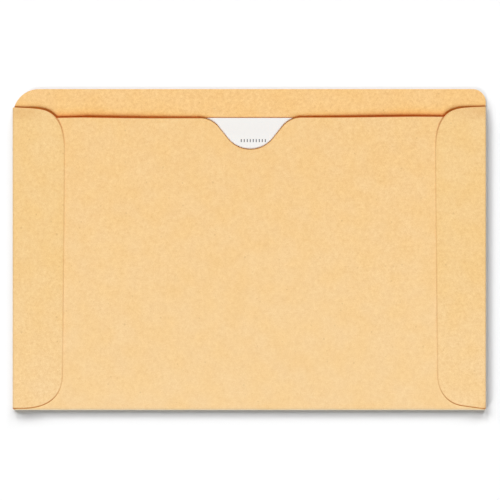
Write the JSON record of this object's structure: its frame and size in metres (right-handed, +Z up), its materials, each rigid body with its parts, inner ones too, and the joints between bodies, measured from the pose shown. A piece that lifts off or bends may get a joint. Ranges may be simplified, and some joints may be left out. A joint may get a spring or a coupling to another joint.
{
  "type": "file pocket",
  "caption": "Flat open-top kraft paper file pocket with glued side flaps, a thumb cut in its front edge and a record card that slides in and out of its mouth.",
  "frame": {"origin": "on the table under the middle of the back panel, at the middle of the pocket's outline", "axes": "+X across the mouth to the right, +Y from the bottom fold towards the mouth, +Z up out of the front face"},
  "size_m": [0.216, 0.1465, 0.0013],
  "materials": {
    "kraft": "matte kraft paper with fine fibre",
    "card": "smooth white card stock with printed rules",
    "glue": "dried translucent paper glue"
  },
  "bodies": {
    "pocket": {"back_panel": "kraft", "bottom_fold": "kraft", "left_side_fold": "kraft", "right_side_fold": "kraft", "left_front_margin": "kraft", "right_front_margin": "kraft", "left_side_flap": "kraft", "right_side_flap": "kraft", "left_glue_strip": "glue", "right_glue_strip": "glue"},
    "front": {"front_panel": "kraft"},
    "card": {"record_card": "card"}
  },
  "joints": [
    {"name": "mouth_hinge", "type": "hinge", "parent": "pocket", "child": "front", "pos_m": [0, -0.07276, 0.00049], "axis": [1, 0, 0], "range_deg": [0, 6], "stiffness_Nm_per_rad": 0.02},
    {"name": "card_slide", "type": "slide", "parent": "pocket", "child": "card", "axis": [0, 1, 0], "range_m": [-0.005, 0.142]}
  ]
}
